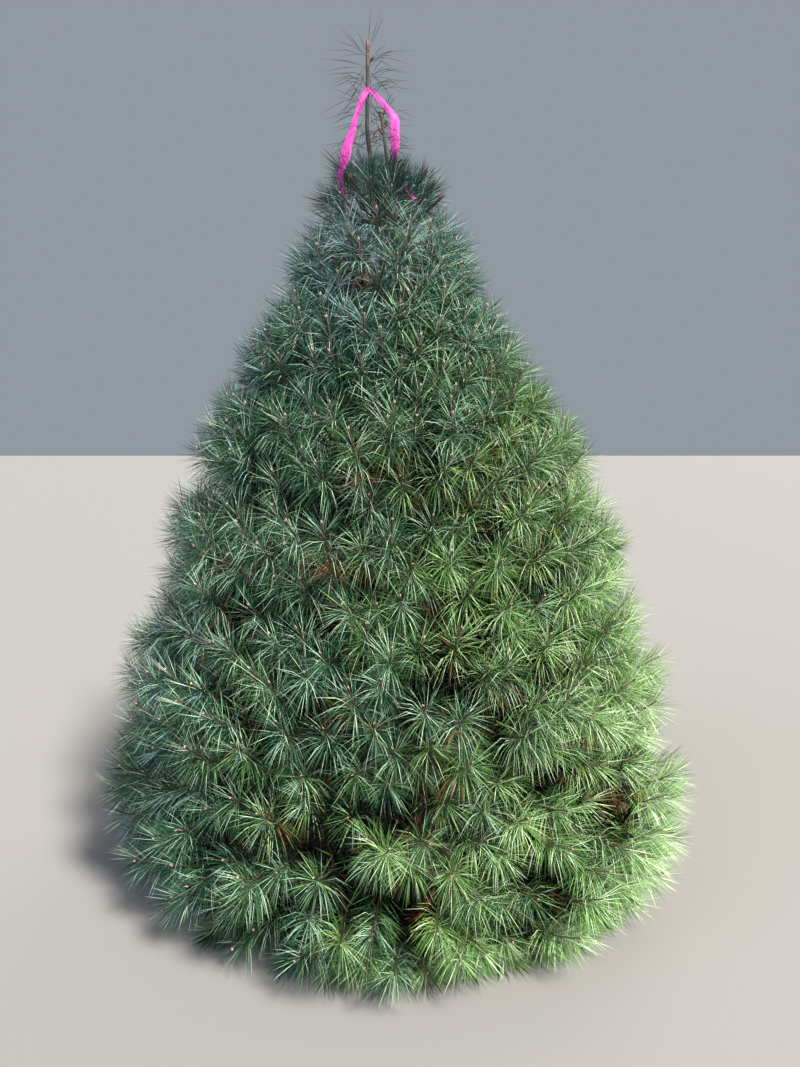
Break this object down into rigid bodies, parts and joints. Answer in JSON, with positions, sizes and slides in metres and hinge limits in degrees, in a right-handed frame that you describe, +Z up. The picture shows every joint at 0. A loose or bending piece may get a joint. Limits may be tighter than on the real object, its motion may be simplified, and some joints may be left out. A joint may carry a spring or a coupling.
{
  "type": "pine tree",
  "caption": "Young white pine sheared to a dense full cone, clothed with long soft needles almost to the ground, with a bare-looking upright leader at its top.",
  "frame": {"origin": "middle of the flat cut under the trunk, at ground level", "axes": "+Z up along the trunk, -Y the side that the picture shows, +X to that view's right"},
  "size_m": [1.8826, 1.8733, 2.651],
  "materials": {
    "trunk_bark": "smooth grey-brown young pine bark, rougher at the foot",
    "limb_bark": "dull red-brown bark of young limbs",
    "needles_blue_green": "long soft needles, blue-green, satin",
    "needles_fresh_green": "long soft needles, fresh light green, satin"
  },
  "bodies": {
    "root": {"bough_1_1": "limb_bark", "bough_1_2": "limb_bark", "bough_1_3": "limb_bark", "bough_1_4": "limb_bark", "bough_1_5": "limb_bark", "bough_2_1": "limb_bark", "bough_2_2": "limb_bark", "bough_2_3": "limb_bark", "bough_2_4": "limb_bark", "bough_2_5": "limb_bark", "bough_3_1": "limb_bark", "bough_3_2": "limb_bark", "bough_3_3": "limb_bark", "bough_3_4": "limb_bark", "bough_3_5": "limb_bark", "bough_4_1": "limb_bark", "bough_4_2": "limb_bark", "bough_4_3": "limb_bark", "bough_4_4": "limb_bark", "bough_5_1": "limb_bark", "bough_5_2": "limb_bark", "bough_5_3": "limb_bark", "bough_5_4": "limb_bark", "bough_6_1": "limb_bark", "bough_6_2": "limb_bark", "bough_6_3": "limb_bark", "foliage_1_1": "needles_fresh_green", "foliage_1_2": "needles_fresh_green", "foliage_1_3": "needles_blue_green", "foliage_1_4": "needles_blue_green", "foliage_1_5": "needles_blue_green", "foliage_2_1": "needles_fresh_green", "foliage_2_2": "needles_fresh_green", "foliage_2_3": "needles_blue_green", "foliage_2_4": "needles_blue_green", "foliage_2_5": "needles_fresh_green", "foliage_3_1": "needles_fresh_green", "foliage_3_2": "needles_fresh_green", "foliage_3_3": "needles_blue_green", "foliage_3_4": "needles_blue_green", "foliage_3_5": "needles_blue_green", "foliage_4_1": "needles_fresh_green", "foliage_4_2": "needles_blue_green", "foliage_4_3": "needles_blue_green", "foliage_4_4": "needles_fresh_green", "foliage_5_1": "needles_blue_green", "foliage_5_2": "needles_blue_green", "foliage_5_3": "needles_blue_green", "foliage_5_4": "needles_blue_green", "foliage_6_1": "needles_blue_green", "foliage_6_2": "needles_blue_green", "foliage_6_3": "needles_blue_green", "leader_needles": "needles_blue_green", "side_shoot": "needles_blue_green", "top_tuft_1": "needles_blue_green", "top_tuft_2": "needles_blue_green", "top_tuft_3": "needles_blue_green", "top_tuft_4": "needles_blue_green", "trunk": "trunk_bark"}
  },
  "joints": []
}
